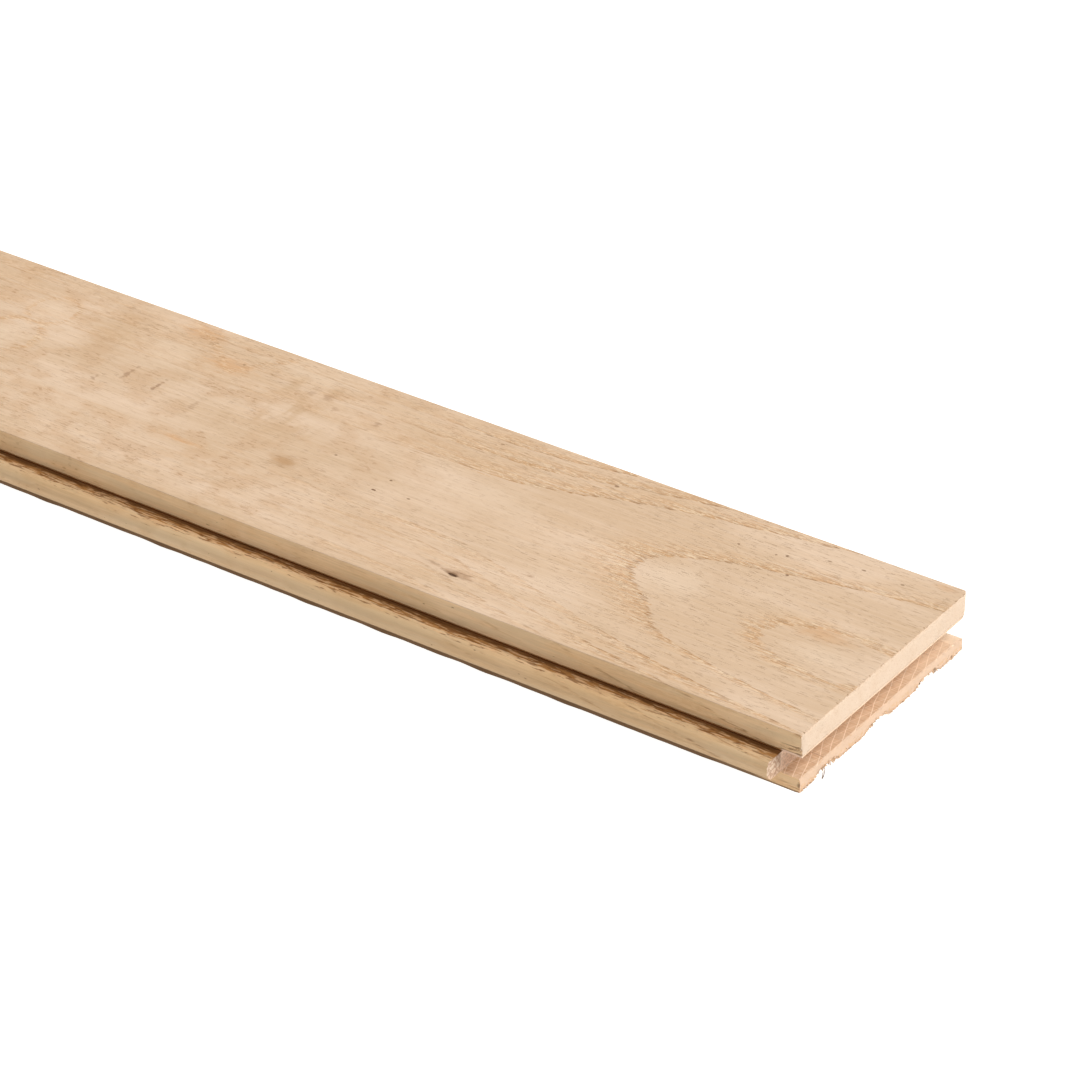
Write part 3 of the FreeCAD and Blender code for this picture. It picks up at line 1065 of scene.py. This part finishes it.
def tongue_side(graph, place, colour):
    """The tongue side: darker wood, a burnt nail seat, a stained tongue top, painted shade under the tongue's
    nose and on the foot below it, a painted contact shadow along the bottom, a painted shadow line along the
    split, and painted light on the seat near the grooved end.
    """
    x, y, z = graph.split(place)
    side = graph.times(graph.below(y, SIDE_ACROSS, CRISP), graph.below(z, TOP_UP - ARRIS / MM, CRISP))
    colour = graph.mix(side, colour, SIDE_TINT, "MULTIPLY")
    colour = graph.mix(graph.below(y, NOSE_ACROSS, SOFT), colour, NOSE_TINT, "MULTIPLY")
    colour = graph.lay_patches(colour, place, "side cloud", SIDE_LIGHT, side)
    # Painted shade under the tongue's nose, on the side below this height
    under = graph.times(graph.below(z, NOSE_SHADE_UP, VAGUE), graph.below(y, 0.0, CRISP))
    colour = graph.lay(colour, under, "nose", SIDE_LIGHT)
    colour = graph.lay_patches(colour, place, "pits", SIDE_LIGHT, side)

    reach = graph.add(graph.swing(place, "stain reach"), graph.swing(place, "stain edge"))
    depth = graph.math("SUBTRACT", graph.math("SUBTRACT", y, STAIN_ACROSS), reach)
    top = graph.times(graph.above(z, STAIN_LOW, SOFT), graph.below(z, STAIN_HIGH, CRISP))
    top = graph.times(top, graph.below(y, SEAT_DEPTH / MM, CRISP))
    colour = graph.lay(colour, graph.times(top, graph.step(depth, *STAIN_LEVELS)), "burnished", TOP_LIGHT)
    colour = graph.lay(colour, graph.times(top, graph.step(depth, *SCORCH_LEVELS)), "scorched", TOP_LIGHT)
    rough = graph.times(top, graph.step(depth, *FLECK_LEVELS))
    colour = graph.lay_patches(colour, place, "dashes", TOP_LIGHT, rough)
    flecks = graph.times(rough, graph.patches(place, "flecks"), graph.step(depth, *FLECK_END))
    colour = graph.lay(colour, flecks, "flecks", TOP_LIGHT)

    seat = graph.times(graph.below(z, TONGUE_UP + SEAT_HEIGHT / MM, CRISP), graph.above(z, TONGUE_UP, CRISP))
    seat = graph.times(seat, graph.above(y, 0.0, CRISP), graph.below(y, SEAT_DEPTH / MM + CRISP, CRISP))
    burnt = graph.times(seat, graph.below(x, -END_GROOVE_DEPTH / MM, SOFT))
    colour = graph.lay(colour, burnt, "seat", SIDE_LIGHT)
    # Near the grooved end the seat's faces look down into shade and take the pale end-groove colour as
    # painted light
    colour = graph.lay(colour, graph.math("SUBTRACT", seat, burnt), "groove bottom painted light", GROOVE_LIGHT)
    # Painted shade on the foot below the tongue, away from the grooved end, and a painted contact shadow
    # along the bottom
    foot = graph.times(graph.below(z, TONGUE_FLOOR / MM, CRISP), graph.below(y, SIDE_ACROSS, CRISP))
    dark = graph.math("MAXIMUM", graph.step(x, *FOOT_SHADE_START), graph.below(z, CONTACT_SHADOW_UP, CRISP))
    foot = graph.times(foot, dark)
    colour = graph.lay(colour, foot, "foot", SIDE_LIGHT)
    # A painted shadow line along the split in the upper lip's side
    off = graph.math("ABSOLUTE", graph.math("SUBTRACT", z, SPLIT_UP))
    split = graph.times(graph.below(off, SPLIT_SHADOW_WIDTH, CRISP), side, graph.step(x, *SPLIT_ALONG))
    return graph.lay(colour, split, "split", SIDE_LIGHT), flecks


def end_grain(graph, place, facing_x, colour):
    """Cream end grain with pores, wherever the board was cut across, torn at the end of the tongue and
    browner there with painted shade towards the upper lip; the bottom of the end groove is made pale as
    painted light against the upper lip's shade.
    """
    x, y, z = graph.split(place)
    cut = graph.lay_patches(linear(END_CREAM, END_LIGHT), place, "end cloud", END_LIGHT)
    cut = graph.lay_patches(cut, place, "end dots", END_LIGHT)
    cut = graph.lay(cut, graph.below(z, LOW_END_UP, CRISP), "low end", END_LIGHT)
    start, stop = TONGUE_END_ALONG
    inside = graph.times(graph.above(x, start, SOFT), graph.below(x, stop, SOFT))
    tongue = graph.times(inside, graph.below(y, TONGUE_END_ACROSS, SOFT))
    bottom = graph.math("SUBTRACT", inside, tongue)
    torn = graph.patches(place, "torn end")
    cut = graph.lay(cut, graph.times(tongue, torn), "torn end", END_LIGHT)
    # At the bottom of the end groove: pinkish end grain, made pale as painted light against the upper lip's
    # shade
    cut = graph.lay(cut, bottom, "groove bottom painted light", GROOVE_LIGHT)
    cut = graph.lay(cut, graph.times(bottom, torn), "torn bottom", GROOVE_LIGHT)
    # Browner towards the upper lip at the tongue end: torn grain, and painted shade where the lip shades it
    brown = graph.times(graph.above(y, BROWN_SHADE_ACROSS, VAGUE), graph.above(z, TONGUE_MIDDLE / MM, VAGUE))
    cut = graph.lay(cut, graph.times(tongue, brown), "torn brown and shade", END_LIGHT)
    return graph.mix(graph.step(graph.math("ABSOLUTE", facing_x), *CUT_ACROSS), colour, cut)


def groove_wall(graph, place, facing_z, colour):
    """The end groove's lower wall: redder wood with the sweeps of the cutter, paler towards its far end, and
    pale cream past it that is partly its own colour and partly painted light where the upper lip's shade
    ends.
    """
    x, y, z = graph.split(place)
    wall = graph.times(graph.step(facing_z, *WALL_FACING), graph.above(x, -END_GROOVE_DEPTH / MM, SOFT))
    wall = graph.times(wall, graph.below(z, FLOOR_UP + SOFT, CRISP), graph.above(y, 0.0, CRISP))
    wood = graph.lay_patches(linear(WALL_BROWN, TOP_LIGHT), place, "wall lines", TOP_LIGHT)
    wander = graph.swing(place, "cutter")
    for slope, strength in SWEEPS:
        phase = graph.math("MULTIPLY_ADD", y, slope, graph.add(x, wander))
        sweep = graph.below(graph.math("PINGPONG", phase, SWEEP_SPACING), SWEEP_WIDTH, SWEEP_WIDTH / 2)
        wood = graph.lay(wood, graph.times(sweep, strength), "wall marks", TOP_LIGHT)
    crack = graph.math("MULTIPLY_ADD", wander, CRACK_WANDER, CRACK_ACROSS)
    off = graph.math("ABSOLUTE", graph.math("SUBTRACT", y, crack))
    wood = graph.lay(wood, graph.below(off, CRACK_WIDTH, CRISP), "wall crack", TOP_LIGHT)
    # Pale cream past the far end of the wall: partly its own colour, partly painted light where the upper
    # lip's shade ends
    far = graph.above(y, WALL_FAR, SOFT)
    pale = graph.math("MAXIMUM", far, graph.times(graph.step(y, *WALL_PALE), WALL_PALE_SHARE))
    wood = graph.lay(wood, pale, "far lip cream and painted light", TOP_LIGHT)
    wood = graph.lay_patches(wood, place, "smudges", TOP_LIGHT, far)
    return graph.mix(wall, colour, wood)


def torn_edges(graph, place, colour):
    """Edges of the grooved end: dark bits along the top and the near corner, a warm fringe at the bottom."""
    x, y, z = graph.split(place)
    edge = graph.times(graph.above(x, EDGE_ALONG, CRISP), graph.above(z, EDGE_UP, CRISP))
    corner = graph.times(graph.above(x, CORNER_ALONG, SOFT), graph.below(y, CORNER_ACROSS, CRISP))
    colour = graph.lay_patches(colour, place, "edge bits", END_LIGHT, graph.math("MAXIMUM", edge, corner))
    near = graph.times(graph.above(x, SPLITS_ALONG, VAGUE), graph.below(y, CORNER_ACROSS, CRISP))
    near = graph.times(near, graph.below(z, SPLITS_UP, SOFT), graph.above(z, TONGUE_UP, CRISP))
    colour = graph.lay_patches(colour, place, "splits", SIDE_LIGHT, near)

    fringe = graph.times(graph.above(x, FRINGE_ALONG, CRISP), graph.below(z, FRINGE_UP, SOFT))
    colour = graph.lay_patches(colour, place, "fringe", END_LIGHT, fringe)
    dark = graph.times(fringe, graph.patches(place, "dark bits"))
    for across, up, *half in EDGE_KNOTS:
        reach = graph.spot(place, (0.0, across, up), half)
        dark = graph.math("MAXIMUM", dark, graph.step(reach, *KNOT_LEVELS))
    colour = graph.lay(colour, dark, "dark bits", END_LIGHT)
    return graph.lay(colour, graph.above(x, STRAND_ALONG, CRISP), "strand", END_LIGHT)


def oak_material():
    """The wood of the board, with each of its faces and edges."""
    graph = Graph("oak")
    axes = graph.node("TexCoord", {})
    start = (-END / MM, -FACE_FRONT / MM, 0.0)
    place = graph.vector("MULTIPLY_ADD", axes.outputs["Object"], (1 / MM, 1 / MM, 1 / MM), start).outputs[0]
    facing_x, _, facing_z = graph.split(axes.outputs["Normal"])
    colour, pores = face_wood(graph, place)
    colour, flecks = tongue_side(graph, place, colour)
    colour = end_grain(graph, place, facing_x, colour)
    colour = groove_wall(graph, place, facing_z, colour)
    colour = torn_edges(graph, place, colour)
    graph.feed(graph.shader.inputs["Base Color"], colour)
    graph.settle(OAK_LOOK)
    fibre = graph.times(graph.swing(place, "fibre"), FIBRE_RELIEF)
    relief = graph.add(graph.math("MULTIPLY_ADD", pores, PORE_RELIEF, fibre), flecks)
    bump = graph.node("Bump", {"Height": relief, "Distance": BUMP_DISTANCE, "Strength": BUMP_STRENGTH})
    graph.feed(graph.shader.inputs["Normal"], bump.outputs["Normal"])
    return graph.material


# Stage

WHITE = (1.0, 1.0, 1.0, 1.0)
FLOOR_REACH = 30.0
# The floor glows, so that it stays evenly pale
FLOOR_LOOK = {
    "Base Color": (0.4, 0.4, 0.4, 1.0),
    "Roughness": 1.0,
    "Specular IOR Level": 0.0,
    "Emission Color": WHITE,
    "Emission Strength": 0.95,
}
VIEW_REACH = 120.0
SKY = 0.3
KEY_ENERGY = 3.75
KEY_ANGLE = math.radians(40)
KEY_FROM = Vector((0.8, 0.25, 1.0))


def make_floor():
    """A wide, plain floor under the board."""
    mesh = bmesh.new()
    bmesh.ops.create_grid(mesh, x_segments=1, y_segments=1, size=FLOOR_REACH)
    floor = new_object("floor", mesh_data("floor", mesh))
    graph = Graph("studio_floor")
    graph.settle(FLOOR_LOOK)
    floor.data.materials.append(graph.material)


def make_light():
    """An even sky and one soft sun."""
    world = bpy.data.worlds.new("studio")
    bpy.context.scene.world = world
    world.use_nodes = True
    sky = world.node_tree.nodes["Background"]
    sky.inputs["Color"].default_value = WHITE
    sky.inputs["Strength"].default_value = SKY
    key = new_object("key", bpy.data.lights.new("key", "SUN"))
    key.data.energy = KEY_ENERGY
    key.data.angle = KEY_ANGLE
    key.rotation_euler = KEY_FROM.to_track_quat("Z", "Y").to_euler()


def make_camera():
    """The camera at the picture's angle, aimed at a place on the face."""
    back = Vector((
        math.sin(AZIMUTH) * math.cos(ELEVATION),
        -math.cos(AZIMUTH) * math.cos(ELEVATION),
        math.sin(ELEVATION),
    ))
    right = Vector((math.cos(AZIMUTH), math.sin(AZIMUTH), 0))
    up = back.cross(right)
    camera = new_object("camera", bpy.data.cameras.new("camera"))
    camera.data.lens = LENS
    camera.data.sensor_width = SENSOR
    camera.data.clip_end = VIEW_REACH
    turn = Matrix((right, up, back)).transposed().to_4x4()
    camera.matrix_world = Matrix.Translation(AIM + back * DISTANCE) @ turn
    bpy.context.scene.camera = camera


WEAR = (
    divide_end, ease_ends, tear_tongue, flare_foot, round_far_corners,
    round_under_lip, wear_far_lip, tear_end, chip_near_corner, make_uneven,
)

board_mesh = build_board()
for work in WEAR:
    work(board_mesh)
bmesh.ops.dissolve_degenerate(board_mesh, dist=TINY, edges=board_mesh.edges)
add_fibres(board_mesh)
board = finish_board(board_mesh)
board.data.materials.append(oak_material())

make_floor()
make_light()
make_camera()
bpy.context.scene.view_settings.view_transform = "Standard"
